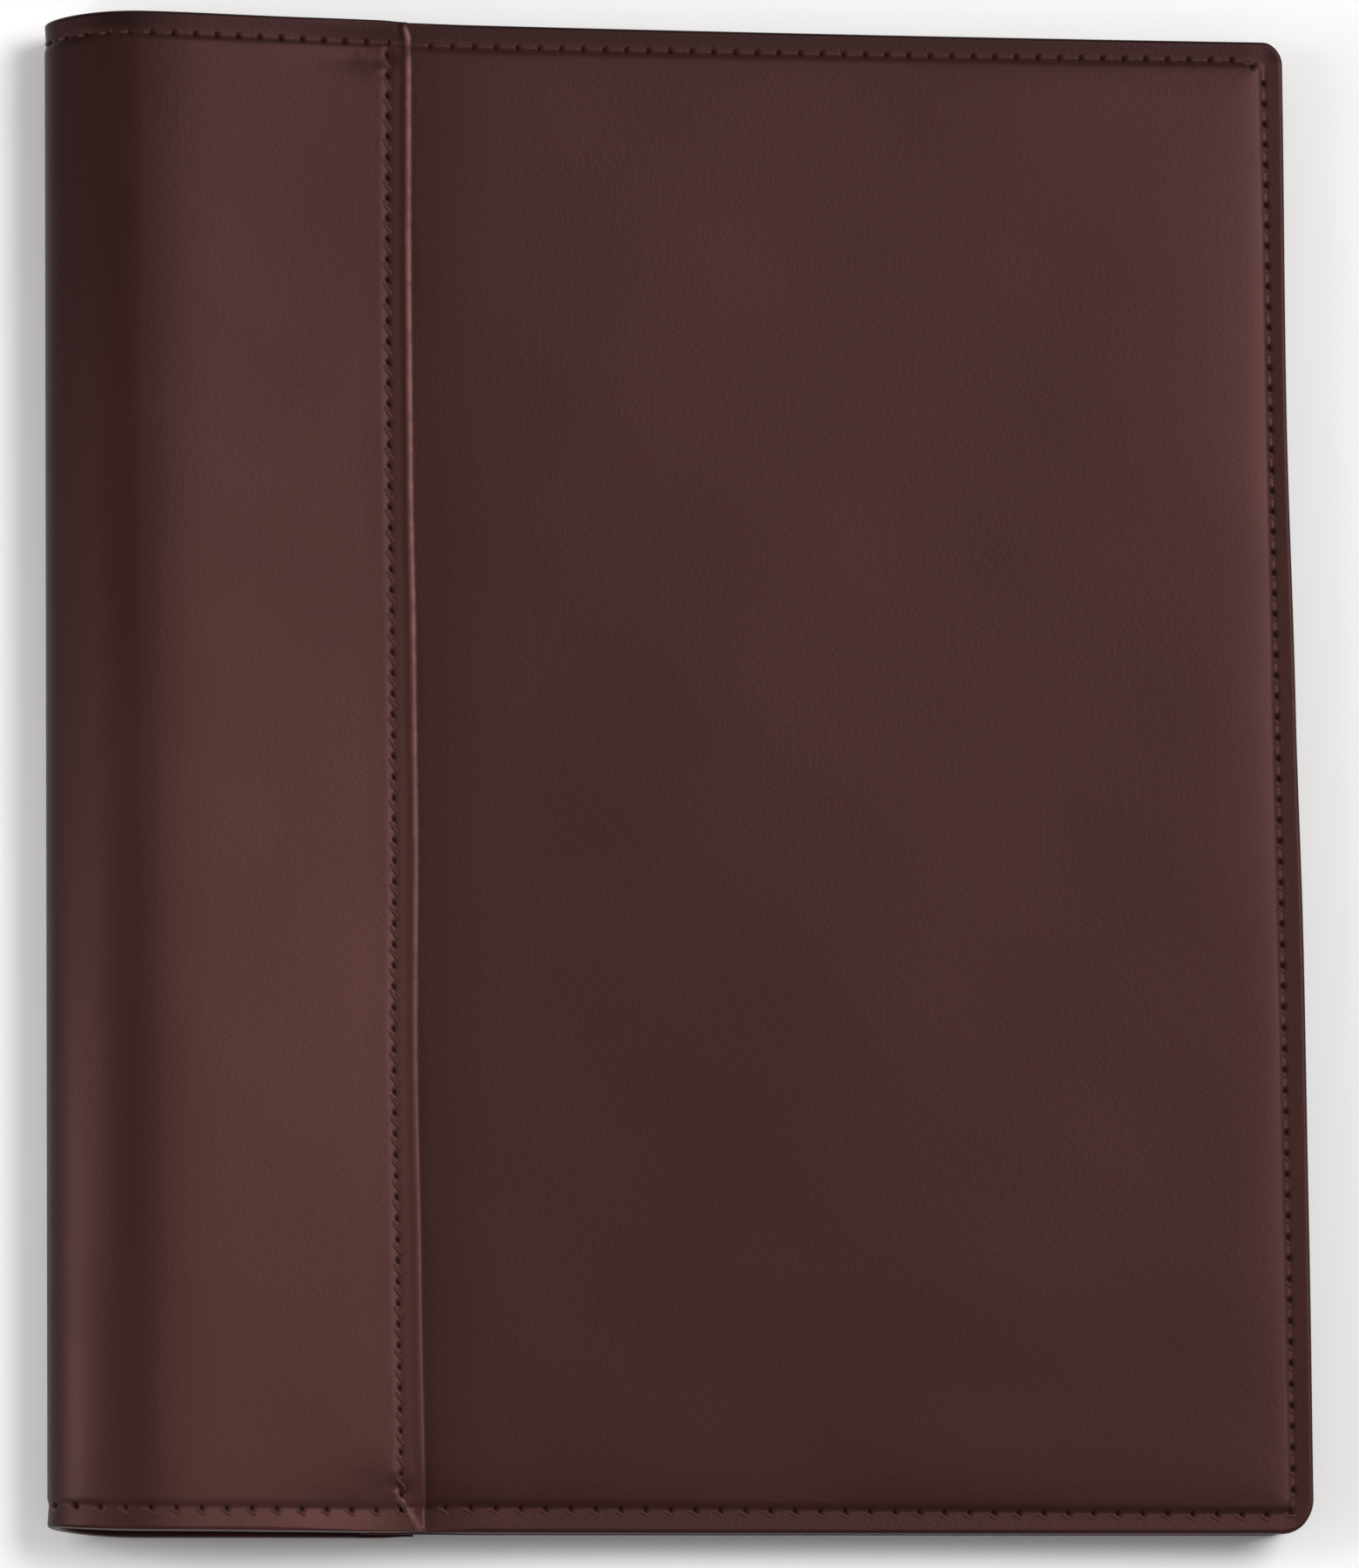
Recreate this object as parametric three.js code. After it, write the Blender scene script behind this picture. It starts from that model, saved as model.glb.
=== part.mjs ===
import * as THREE from 'three';

// A soft leather document case that lies closed on its back cover, with the spine towards -X.
// Lengths are millimetres, +Z is up, and "from the spine" is measured from the spine's outer face.

// Overall sizes
const caseHeight = 325;
const caseWidth = 270;
const spineDepth = 21;
const openEdgeDepth = 11;

// Leather walls
const coverWall = 3;
const lipWall = 1.5;
const seatClearance = 0.3;

// The soft spine is half an ellipse, spineReach deep from its outer face
const spineReach = 20;
const spineTuck = 1.2;

// The wrap covers wrapReach of each cover and laps lapWidth over the panel's tongue
const wrapReach = 78;
const lapWidth = 11.5;
const seamInset = 4.7;
const skiveLength = 0.8;

// A panel's wall grows from its thin tongue to its full thickness over riseLength
const riseLength = 12;

// The front cover is highest where the spine ends. It falls by wrapFall to the end of the wrap, reaching its full
// slope after crestEase, and gently from there to the open edge. Its slope changes from turnStart to turnEnd.
const wrapFall = 5;
const crestEase = 14;
const turnStart = 66;
const turnEnd = 86;

// Outline of the panels
const cornerRadiusTop = 5;
const cornerRadiusBottom = 7.5;
const edgeBow = 2.4;
const backSetback = 1;

// Stitched margin and padding
const stitchInset = 4.7;
const stitchDip = 0.35;
const dipReach = 2.4;
const padCrown = 0.6;
const padEase = 4.5;
const seamTuck = 0.4;
const hollowDepth = 0.9;

// The front cover's open edge swings in and out along its height.
// up is a share of caseHeight from the bottom edge, inward is a share of edgeBow.
const edgeBowRows = [
  { up: 0, inward: 0.35 },
  { up: 0.2, inward: 0.12 },
  { up: 0.38, inward: 0 },
  { up: 0.55, inward: 0.5 },
  { up: 0.74, inward: 1 },
  { up: 1, inward: 0.45 },
];

// Soft hollows in the front cover. along and wide are shares of caseWidth, up and tall are shares of caseHeight,
// and deep is a share of hollowDepth. The first two are the tucks at the ends of the stitched seam.
const hollowRows = [
  { along: 0.243, up: 0.972, wide: 0.04, tall: 0.012, deep: 0.8 },
  { along: 0.25, up: 0.03, wide: 0.045, tall: 0.013, deep: 1 },
  { along: 0.42, up: 0.3, wide: 0.14, tall: 0.13, deep: 0.35 },
  { along: 0.7, up: 0.1, wide: 0.22, tall: 0.035, deep: 0.4 },
];

// Where the grid lines of the walls run.
// Along an edge: shares of stitchInset, from the edge to the first line inside the stitches.
const edgeLineShares = [0, 0.1, 0.32, 0.68, 1, 1.5, 2.3, 3.8];
// Between the edges, up the height: shares of caseHeight, beside the rows of edgeBowRows.
const middleLineShares = [0.11, 0.29, 0.46, 0.65, 0.83, 0.92];
// Across the front panel: shares of the width between its rise and its stitched edge.
const panelLineShares = [0.12, 0.3, 0.5, 0.7, 0.88];
// Across the wrap between the spine and the lap: shares of that width.
const wrapLineShares = [0.78, 0.52, 0.24];
const spineSteps = 14;
// Lines that the lap and the tongue under it share, from the spine's side.
const underLapLines = [wrapReach - seamInset - 2.7, wrapReach - seamInset, wrapReach - 0.55 * seamInset];

const spineX = -caseWidth / 2;
const halfHeight = caseHeight / 2;
const seamAt = wrapReach - seamInset;
const lapStart = wrapReach - lapWidth;
const tongueStart = lapStart + seatClearance;
const tongueSink = lipWall + seatClearance;
const baseDepth = spineDepth - padCrown;
const coverFall = spineDepth - openEdgeDepth - padCrown - tongueSink;

const burgundyLeather = { color: 0x4b2f2d, roughness: 0.5, metalness: 0 };

function smooth(t) {
  return THREE.MathUtils.smoothstep(t, 0, 1);
}

// A rounded bump that is 1 at t = 0 and exactly 0 from |t| = 1 on.
function bump(t) {
  return Math.abs(t) < 1 ? Math.cos((Math.PI * t) / 2) ** 2 : 0;
}

// How far a quarter-round edge of this radius has dropped at a distance in from the edge.
function roundDrop(distance, radius) {
  if (distance >= radius) return 0;
  return radius - Math.sqrt(radius ** 2 - (radius - distance) ** 2);
}

// Padding swells quickly from a stitched line and then levels out.
function swell(distance) {
  return distance > 0 ? 1 - Math.exp(-distance / padEase) : 0;
}

// The integral of a slope that rises from 0 at the start to 1 at the end of an ease and stays 1.
function easedRun(at, start, end) {
  if (at <= start) return 0;
  return at < end ? (at - start) ** 2 / (2 * (end - start)) : at - (start + end) / 2;
}

function bowAt(up) {
  const next = edgeBowRows.findIndex((row) => row.up >= up);
  if (next <= 0) return edgeBow * edgeBowRows[0].inward;
  const low = edgeBowRows[next - 1];
  const high = edgeBowRows[next];
  const between = smooth((up - low.up) / (high.up - low.up));
  return edgeBow * THREE.MathUtils.lerp(low.inward, high.inward, between);
}

const crestRun = (at) => easedRun(at, spineReach, spineReach + crestEase);
const turnRun = (at) => easedRun(at, turnStart, turnEnd);
const wrapSlope = wrapFall / crestRun(wrapReach);
const slopeChange = (wrapSlope * crestRun(caseWidth) - coverFall) / turnRun(caseWidth);

// The two covers. sign is +1 where the outer face looks up and -1 where it looks down. The front panel lies a step
// lower than the wrap all the way, and the back panel comes up to the wrap's level, so that the case lies flat.
const frontCover = {
  sign: 1,
  setback: 0,
  bow: edgeBow,
  padded: true,
  step: () => tongueSink,
  base: (fromSpine) => baseDepth - wrapSlope * crestRun(fromSpine) + slopeChange * turnRun(fromSpine),
};
const backCover = {
  sign: -1,
  setback: backSetback,
  bow: 0,
  padded: false,
  step: (rise) => tongueSink * (1 - rise),
  base: () => 0,
};

function cornerRadius(y) {
  return y > 0 ? cornerRadiusTop : cornerRadiusBottom;
}

function openEdge(cover, y) {
  const bow = cover.bow > 0 ? bowAt((y + halfHeight) / caseHeight) : 0;
  return caseWidth - cover.setback - bow;
}

function endEdge(cover) {
  return halfHeight - cover.setback;
}

// Distance in from a cover's outline, rounded corners included.
function insetOf(cover, fromSpine, y) {
  const radius = cornerRadius(y);
  const toOpen = openEdge(cover, y) - fromSpine;
  const toEnd = endEdge(cover) - Math.abs(y);
  if (toOpen < radius && toEnd < radius) {
    return Math.max(0, radius - Math.hypot(radius - toOpen, radius - toEnd));
  }
  return Math.max(0, Math.min(toOpen, toEnd));
}

function hollowAt(fromSpine, y) {
  const along = fromSpine / caseWidth;
  const up = (y + halfHeight) / caseHeight;
  const parts = hollowRows.map((row) => row.deep * bump((along - row.along) / (2 * row.wide)) *
    bump((up - row.up) / (2 * row.tall)));
  return hollowDepth * parts.reduce((sum, part) => sum + part, 0);
}

// How far a cover's leather stands outside its base line, before its edges are rounded. inset is measured from the
// wrap's outline, so that the line of stitches runs on from the wrap to a panel that is set back.
function relief(cover, fromSpine, y, inset) {
  const marginDip = stitchDip * bump((inset - stitchInset) / dipReach);
  const dip = Math.max(seamDip(fromSpine), marginDip);
  if (!cover.padded) return -dip;
  return padAt(fromSpine, inset) - dip - hollowAt(fromSpine, y);
}

// The seam draws the wrap down. From there the lap rises evenly to its turned edge.
function seamDip(fromSpine) {
  if (fromSpine < seamAt) return stitchDip * bump((fromSpine - seamAt) / dipReach);
  return stitchDip * Math.max(0, 1 - (fromSpine - seamAt) / seamInset);
}

function padAt(fromSpine, inset) {
  const toSeam = Math.max(0, seamAt - fromSpine, fromSpine - wrapReach);
  const overSeam = 1 - seamTuck * Math.exp(-toSeam / padEase);
  return padCrown * smooth(fromSpine / spineReach) * overSeam * swell(inset - stitchInset);
}

// Joins an outer and an inner grid of points, both rows by columns, into one closed wall.
function closedWall(outer, inner) {
  const rows = outer.length;
  const columns = outer[0].length;
  const positions = [...outer.flat(), ...inner.flat()].flatMap((point) => [point.x, point.y, point.z]);
  const outerIndex = (row, column) => row * columns + column;
  const innerIndex = (row, column) => rows * columns + row * columns + column;
  const triangles = [];
  const quad = (a, b, c, d) => triangles.push(a, b, c, a, c, d);
  for (let row = 0; row < rows - 1; row += 1) {
    for (let column = 0; column < columns - 1; column += 1) {
      quad(outerIndex(row, column), outerIndex(row, column + 1),
        outerIndex(row + 1, column + 1), outerIndex(row + 1, column));
      quad(innerIndex(row, column), innerIndex(row + 1, column),
        innerIndex(row + 1, column + 1), innerIndex(row, column + 1));
    }
  }
  const last = { row: rows - 1, column: columns - 1 };
  for (let column = 0; column < last.column; column += 1) {
    quad(innerIndex(0, column), innerIndex(0, column + 1), outerIndex(0, column + 1), outerIndex(0, column));
    quad(outerIndex(last.row, column), outerIndex(last.row, column + 1),
      innerIndex(last.row, column + 1), innerIndex(last.row, column));
  }
  for (let row = 0; row < last.row; row += 1) {
    quad(outerIndex(row, 0), outerIndex(row + 1, 0), innerIndex(row + 1, 0), innerIndex(row, 0));
    quad(innerIndex(row, last.column), innerIndex(row + 1, last.column),
      outerIndex(row + 1, last.column), outerIndex(row, last.column));
  }
  const geometry = new THREE.BufferGeometry();
  geometry.setAttribute('position', new THREE.Float32BufferAttribute(positions, 3));
  geometry.setIndex(triangles);
  geometry.computeVertexNormals();
  return geometry;
}

// Grid lines from one end edge to the other: close together at the stitched margins.
function heightLines() {
  const margin = edgeLineShares.map((share) => share * stitchInset);
  const middle = [...middleLineShares, ...edgeBowRows.map((row) => row.up)]
    .filter((share) => share > 0 && share < 1)
    .map((share) => share * caseHeight)
    .filter((at) => Math.min(at, caseHeight - at) > 1.3 * Math.max(...margin));
  const all = [...margin, ...middle, ...margin.map((at) => caseHeight - at)];
  return all.sort((a, b) => a - b).map((at) => at / caseHeight);
}

// One cover panel: a tongue under the wrap, then the padded panel with its rolled edge.
function panelGeometry(cover) {
  const rightLines = edgeLineShares.map((share) => share * stitchInset).reverse();
  const rise = [0, 0.12, 0.35, 0.65, 1].map((share) => wrapReach + share * riseLength);
  const padStart = wrapReach + riseLength;
  const outer = [];
  const inner = [];
  for (const up of heightLines()) {
    const y = (2 * up - 1) * endEdge(cover);
    const radius = cornerRadius(y);
    const intoCorner = Math.max(0, Math.abs(y) - (endEdge(cover) - radius));
    const open = openEdge(cover, y) - radius + Math.sqrt(radius ** 2 - intoCorner ** 2);
    const padEnd = open - rightLines[0];
    const pad = panelLineShares.map((share) => THREE.MathUtils.lerp(padStart, padEnd, share));
    const tongue = [tongueStart, tongueStart + skiveLength, ...underLapLines];
    const columns = [...tongue, ...rise, ...pad, ...rightLines.map((inset) => open - inset)];
    const outerRow = [];
    const innerRow = [];
    for (const fromSpine of columns) {
      const inset = insetOf(cover, fromSpine, y);
      const rise = smooth((fromSpine - wrapReach) / riseLength);
      const local = coverWall - tongueSink * (1 - rise);
      const sink = cover.step(rise);
      const base = cover.base(fromSpine);
      const skin = relief(cover, fromSpine, y, inset + cover.setback);
      const out = skin - sink - roundDrop(inset, 0.5 * local);
      const under = sink + local - roundDrop(inset, 0.3 * local);
      outerRow.push(new THREE.Vector3(spineX + fromSpine, y, base + cover.sign * out));
      innerRow.push(new THREE.Vector3(spineX + fromSpine, y, base - cover.sign * under));
    }
    outer.push(outerRow);
    inner.push(innerRow);
  }
  return cover.sign > 0 ? closedWall(outer, inner) : closedWall(mirrored(outer), mirrored(inner));
}

// The same grid with its columns turned round, so that the wall still faces outwards.
function mirrored(grid) {
  return grid.map((row) => [...row].reverse());
}

// The wrap's lines on one cover, from the turned edge towards the spine.
function lapLines() {
  const lipRound = lipWall / 2;
  const flat = wrapLineShares.map((share) => THREE.MathUtils.lerp(spineReach, lapStart - skiveLength, share));
  return [wrapReach, wrapReach - 0.3 * lipRound, wrapReach - lipRound, ...[...underLapLines].reverse(),
    lapStart, lapStart - skiveLength, ...flat];
}

// One point pair of the wrap where it lies on a cover.
function wrapOnCover(cover, fromSpine, up) {
  const y = (2 * up - 1) * halfHeight;
  const inset = halfHeight - Math.abs(y);
  const inLap = fromSpine >= lapStart;
  const wall = inLap ? lipWall : coverWall;
  const skin = relief(cover, fromSpine, y, inset);
  const lipInset = wrapReach - fromSpine;
  const edgeDrop = Math.max(roundDrop(inset, 0.5 * wall), inLap ? roundDrop(lipInset, 0.5 * lipWall) : 0);
  const under = inLap ? lipWall - skin : coverWall;
  const base = cover.base(fromSpine);
  return {
    outer: new THREE.Vector3(spineX + fromSpine, y, base + cover.sign * (skin - edgeDrop)),
    inner: new THREE.Vector3(spineX + fromSpine, y, base - cover.sign * (under - 0.6 * edgeDrop)),
  };
}

// One point pair of the wrap on the round of the spine. turn runs from +90 degrees at the front cover to -90.
function wrapOnSpine(turn, up) {
  const half = baseDepth / 2;
  const across = Math.cos(turn);
  const high = Math.sin(turn);
  const normal = new THREE.Vector3(-across / spineReach, 0, high / half).normalize();
  const fromSpine = spineReach * (1 - across);
  const tuck = spineTuck * across ** 2;
  const y = (2 * up - 1) * (halfHeight - tuck);
  const inset = halfHeight - tuck - Math.abs(y);
  const pad = high > 0 ? padAt(fromSpine, inset) : 0;
  const dip = stitchDip * bump((inset - stitchInset) / dipReach);
  const drop = roundDrop(inset, 0.5 * coverWall);
  const onBase = new THREE.Vector3(spineX + fromSpine, y, half + half * high);
  return {
    outer: onBase.clone().addScaledVector(normal, pad - dip - drop),
    inner: onBase.clone().addScaledVector(normal, 0.6 * drop - coverWall),
  };
}

function spineWrapGeometry() {
  const outer = [];
  const inner = [];
  for (const up of heightLines()) {
    const front = lapLines().map((fromSpine) => wrapOnCover(frontCover, fromSpine, up));
    const turns = Array.from({ length: spineSteps + 1 }, (_, step) => Math.PI * (0.5 - step / spineSteps));
    const round = turns.map((turn) => wrapOnSpine(turn, up));
    const back = lapLines().reverse().map((fromSpine) => wrapOnCover(backCover, fromSpine, up));
    const pairs = [...front, ...round, ...back];
    outer.push(pairs.map((pair) => pair.outer));
    inner.push(pairs.map((pair) => pair.inner));
  }
  return closedWall(mirrored(outer), mirrored(inner));
}

function leatherPiece(name, geometry) {
  const mesh = new THREE.Mesh(geometry, new THREE.MeshStandardMaterial(burgundyLeather));
  mesh.name = name;
  return mesh;
}

const documentCase = new THREE.Group();
documentCase.add(leatherPiece('front_panel', panelGeometry(frontCover)));
documentCase.add(leatherPiece('spine_wrap', spineWrapGeometry()));
documentCase.add(leatherPiece('back_panel', panelGeometry(backCover)));

export default documentCase;
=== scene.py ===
"""Looks of a soft leather document case that lies closed on its back cover.

The covers and the spine wrap are cut flat, crowded with edges where they are sewn, given their wall,
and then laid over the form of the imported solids, with the low relief that the photograph's shading
shows. Threads, a studio and a camera follow.
"""

import logging
import math
from dataclasses import dataclass, field
from enum import Enum
from typing import Any, NamedTuple

import bpy
import numpy as np
from mathutils import Matrix, Vector


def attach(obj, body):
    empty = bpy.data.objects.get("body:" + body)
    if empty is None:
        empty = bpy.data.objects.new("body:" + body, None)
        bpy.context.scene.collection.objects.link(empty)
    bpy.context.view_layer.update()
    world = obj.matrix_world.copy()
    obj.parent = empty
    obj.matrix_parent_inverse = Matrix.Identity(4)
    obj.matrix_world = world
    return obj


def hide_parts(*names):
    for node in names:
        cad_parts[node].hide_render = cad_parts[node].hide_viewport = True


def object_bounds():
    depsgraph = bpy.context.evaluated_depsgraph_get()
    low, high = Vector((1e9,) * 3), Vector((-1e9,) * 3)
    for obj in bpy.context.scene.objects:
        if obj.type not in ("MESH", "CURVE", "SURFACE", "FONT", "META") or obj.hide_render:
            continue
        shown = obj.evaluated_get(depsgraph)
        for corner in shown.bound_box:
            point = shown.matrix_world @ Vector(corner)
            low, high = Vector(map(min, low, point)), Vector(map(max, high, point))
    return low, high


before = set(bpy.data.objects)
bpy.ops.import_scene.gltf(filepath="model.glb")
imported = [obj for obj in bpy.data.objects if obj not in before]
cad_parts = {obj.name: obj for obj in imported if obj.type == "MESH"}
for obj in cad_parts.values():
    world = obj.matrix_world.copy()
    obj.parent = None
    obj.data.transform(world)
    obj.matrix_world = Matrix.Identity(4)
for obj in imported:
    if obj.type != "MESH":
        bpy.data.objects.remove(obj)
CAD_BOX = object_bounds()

Array = np.ndarray
Placed = tuple[np.ndarray, np.ndarray]
Socket = bpy.types.NodeSocket
LOG = logging.getLogger("document_case")


def linear(hex_colour: str) -> tuple[float, float, float, float]:
    """Turn an sRGB hex colour into linear RGBA.

    Args:
        hex_colour: Six hex digits, such as "4b2f2d".

    Returns:
        Red, green, blue and alpha for a shader socket.
    """
    parts = [int(hex_colour[i:i + 2], 16) / 255 for i in (0, 2, 4)]
    made = [p / 12.92 if p <= 0.04045 else ((p + 0.055) / 1.055) ** 2.4 for p in parts]
    return (made[0], made[1], made[2], 1.0)


def smooth(t: Array) -> Array:
    """Ease from 0 at t = 0 to 1 at t = 1."""
    held = np.clip(t, 0, 1)
    return held * held * (3 - 2 * held)


def ramp(at: Array, start: float, reach: float) -> Array:
    """Ease from 0 at start to 1 at start + reach."""
    return smooth((at - start) / reach)


def bump(t: Array) -> Array:
    """Give a rounded bump, 1 at t = 0 and 0 from 1 on."""
    return np.where(np.abs(t) < 1, np.cos(np.pi * np.asarray(t) / 2) ** 2, 0.0)


def spot(at: Array, middle: float, reach: float) -> Array:
    """Give a rounded bump round a middle, 0 from its reach on."""
    return bump((at - middle) / reach)


def round_drop(distance: Array, radius: Array | float) -> Array:
    """Say how far a quarter-round edge has dropped.

    Args:
        distance: Distance in from the edge.
        radius: Radius of the round.

    Returns:
        The drop, from radius at the edge to 0 where the round ends.
    """
    held = np.clip(distance, 0, radius)
    return radius - np.sqrt(radius ** 2 - (radius - held) ** 2)


def swell(distance: Array, ease: float) -> Array:
    """Let padding rise from a stitched line and level out over about ease."""
    return 1 - np.exp(-np.clip(distance, 0, None) / ease)


def eased_run(at: Array | float, start: float, end: float) -> Array:
    """Integrate a slope that grows from 0 at start to 1 at end and stays 1.

    Args:
        at: Where to read the integral.
        start: Where the slope begins.
        end: Where it is whole.

    Returns:
        The integral from far before start.
    """
    eased = np.clip(np.asarray(at, float) - start, 0, None) ** 2 / (2 * (end - start))
    return np.where(np.asarray(at) < end, eased, np.asarray(at) - (start + end) / 2)


class Side(Enum):
    """Which cover of the case; the value says whether its outer face looks up or down."""

    FRONT = 1
    BACK = -1


class RowInsets(NamedTuple):
    """How far a panel's rows lie in from the case's ends, near the seam and far from it."""

    top_near: float
    top_far: float
    bottom_near: float
    bottom_far: float


class Wander(NamedTuple):
    """How far a line has wandered at a share of the case's height, as a share of the most."""

    up: float
    share: float


def wandered(rows: tuple[Wander, ...], up: Array) -> Array:
    """Ease from row to row of a wandering line.

    Args:
        rows: The rows, from the lowest up.
        up: Shares of the case's height.

    Returns:
        How far the line has wandered there, as shares of the most.
    """
    moved = np.full_like(up, rows[0].share)
    for low, high in zip(rows, rows[1:]):
        eased = smooth((up - low.up) / (high.up - low.up))
        moved = np.where(up > low.up, low.share + (high.share - low.share) * eased, moved)
    return moved


class Hollow(NamedTuple):
    """A soft hollow: its place and reach as shares of the width and height, its depth as a share."""

    along: float
    up: float
    wide: float
    tall: float
    deep: float


class Crease(NamedTuple):
    """A crease from one point to another, in metres from the spine and up from the middle."""

    start: tuple[float, float]
    end: tuple[float, float]
    width: float
    depth: float

    def reach(self, from_spine: Array, y: Array) -> Placed:
        """Find points in the crease.

        Args:
            from_spine: Distance from the spine's outer face.
            y: Height from the middle.

        Returns:
            How deep in the crease the points lie and how far along it, both from 0 to 1.
        """
        start, run = np.array(self.start), np.array(self.end) - np.array(self.start)
        offset = np.column_stack([from_spine, y]) - start
        along = np.clip(offset @ run / (run @ run), 0, 1)
        aside = np.linalg.norm(offset - along[:, None] * run, axis=1)
        return bump(aside / self.width), along


class Wave(NamedTuple):
    """A slow wave of the leather: its length and height in metres, its heading and phase in radians."""

    length: float
    heading: float
    phase: float
    height: float


@dataclass(frozen=True)
class CaseForm:
    """The form of the closed case, in metres.

    The spine, the walls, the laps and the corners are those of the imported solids. The sags, the hollows,
    the lean and the waves are added from the photograph's shading. The open edge is also thicker than in
    the solids, and its bow and the back panel's setback are smaller.
    """

    height: float = CAD_BOX[1][1] - CAD_BOX[0][1]
    width: float = CAD_BOX[1][0] - CAD_BOX[0][0]
    spine_x: float = CAD_BOX[0][0]
    spine_depth: float = 0.021
    open_edge_depth: float = 0.0134
    wall: float = 0.003
    lip_wall: float = 0.0015
    clearance: float = 0.0003
    spine_reach: float = 0.020
    spine_tuck: float = 0.0012
    wrap_reach: float = 0.078
    lap: float = 0.0115
    seam_inset: float = 0.0053
    skive: float = 0.0008
    rise: float = 0.012
    wrap_fall: float = 0.005
    crest_ease: float = 0.014
    turn_start: float = 0.066
    turn_end: float = 0.086
    corner_top: float = 0.005
    corner_bottom: float = 0.0075
    bow: float = 0.0012
    back_setback: float = 0.0006
    stitch_inset: float = 0.0047
    row_insets: RowInsets = RowInsets(0.0050, 0.0043, 0.0054, 0.0041)
    rim: float = 0.28
    dip: float = 0.00032
    dip_reach: float = 0.0018
    dip_rise: float = 0.0042
    seam_dip: float = 0.5
    seam_dip_fade: float = 0.007
    row_ease: float = 0.004
    under_rim: float = 0.3
    under_drop: float = 0.6
    crown: float = 0.0006
    crown_ease: float = 0.0045
    wrap_crown: float = 0.5
    crown_growth: float = 0.02
    seam_tuck: float = 0.4
    hollow: float = 0.0009
    sag: float = 0.001
    sag_start: float = 0.084
    sag_end: float = 0.262
    wrap_sag: float = 0.00025
    wrap_sag_start: float = 0.022
    wrap_sag_end: float = 0.074
    low_fall: float = 0.0004
    low_reach: float = 0.040
    low_ease: float = 0.03
    lean: float = 0.002
    lean_start: float = 0.030
    lean_end: float = 0.140
    stitch_corner: float = 0.0022
    bow_rows: tuple[Wander, ...] = (
        Wander(0, 0.35), Wander(0.2, 0.12), Wander(0.38, 0),
        Wander(0.55, 0.5), Wander(0.74, 1), Wander(1, 0.45),
    )
    lean_rows: tuple[Wander, ...] = (
        Wander(0, 0.68), Wander(0.17, 0.45), Wander(0.31, 0.2), Wander(0.45, 0.42),
        Wander(0.58, 0.34), Wander(0.7, 0.16), Wander(0.82, 0.12), Wander(1, 0.3),
    )
    hollows: tuple[Hollow, ...] = (
        Hollow(0.243, 0.978, 0.04, 0.010, 0.45),
        Hollow(0.25, 0.014, 0.045, 0.014, 0.95),
        Hollow(0.42, 0.3, 0.14, 0.13, 0.35),
        Hollow(0.7, 0.1, 0.22, 0.035, 0.4),
    )
    waves: tuple[Wave, ...] = (
        Wave(0.118, 0.35, 0.4, 0.00013),
        Wave(0.083, 1.9, 2.1, 0.00009),
        Wave(0.052, 2.7, 4.0, 0.00004),
        Wave(0.034, 0.9, 1.2, 0.00002),
    )

    @property
    def half_height(self) -> float:
        """Half of the case's height."""
        return self.height / 2

    @property
    def seam_at(self) -> float:
        """Where the seam's stitches run, from the spine's outer face."""
        return self.wrap_reach - self.seam_inset

    @property
    def lap_start(self) -> float:
        """Where the wrap thins to its lip."""
        return self.wrap_reach - self.lap

    @property
    def step(self) -> float:
        """How much lower a panel's tongue lies than the wrap over it."""
        return self.lip_wall + self.clearance

    @property
    def base_depth(self) -> float:
        """Depth of the case at the spine without its padding's rise."""
        return self.spine_depth - self.crown

    def crest_run(self, at: Array | float) -> Array:
        """Integrate the slope that begins at the crest."""
        return eased_run(at, self.spine_reach, self.spine_reach + self.crest_ease)

    def turn_run(self, at: Array | float) -> Array:
        """Integrate the change of slope at the end of the wrap."""
        return eased_run(at, self.turn_start, self.turn_end)

    def base(self, from_spine: Array, side: Side) -> Array:
        """Give the height of a cover's outer line, before any relief.

        Args:
            from_spine: Distance from the spine's outer face.
            side: The cover.

        Returns:
            Heights above the surface that the case lies on.
        """
        if side is Side.BACK:
            return np.zeros_like(from_spine)
        fall = self.base_depth - self.open_edge_depth - self.step
        slope = self.wrap_fall / self.crest_run(self.wrap_reach)
        change = (slope * self.crest_run(self.width) - fall) / self.turn_run(self.width)
        line = self.base_depth - slope * self.crest_run(from_spine) + change * self.turn_run(from_spine)
        for depth, start, end in (
            (self.sag, self.sag_start, self.sag_end),
            (self.wrap_sag, self.wrap_sag_start, self.wrap_sag_end),
        ):
            share = np.clip((from_spine - start) / (end - start), 0, 1)
            line = line - 4 * depth * share * (1 - share)
        return line

    def lean_at(self, from_spine: Array, y: Array) -> Array:
        """Say how far the front cover's leather has wandered outwards, most of all at the seam."""
        risen = self.wrap_reach + self.rise
        grown = ramp(from_spine, self.lean_start, self.lap_start - self.lean_start)
        gone = ramp(from_spine, risen, self.lean_end - risen)
        return self.lean * wandered(self.lean_rows, y / self.height + 0.5) * grown * (1 - gone)

    def bow_at(self, y: Array) -> Array:
        """Say how far the front cover's open edge is drawn in at a height y."""
        return self.bow * wandered(self.bow_rows, y / self.height + 0.5)

    def hollow_at(self, from_spine: Array, y: Array) -> Array:
        """Give the depth of the soft hollows of the front cover."""
        along = from_spine / self.width
        up = y / self.height + 0.5
        depth = np.zeros_like(along)
        for row in self.hollows:
            wide, tall = bump((along - row.along) / (2 * row.wide)), bump((up - row.up) / (2 * row.tall))
            depth += row.deep * wide * tall
        return self.hollow * depth

    def wave_at(self, from_spine: Array, y: Array) -> Array:
        """Give the slow unevenness of hide over padding."""
        lift = np.zeros_like(from_spine)
        for row in self.waves:
            run = from_spine * math.cos(row.heading) + y * math.sin(row.heading)
            lift += row.height * np.sin(2 * np.pi * run / row.length + row.phase)
        return lift

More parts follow.
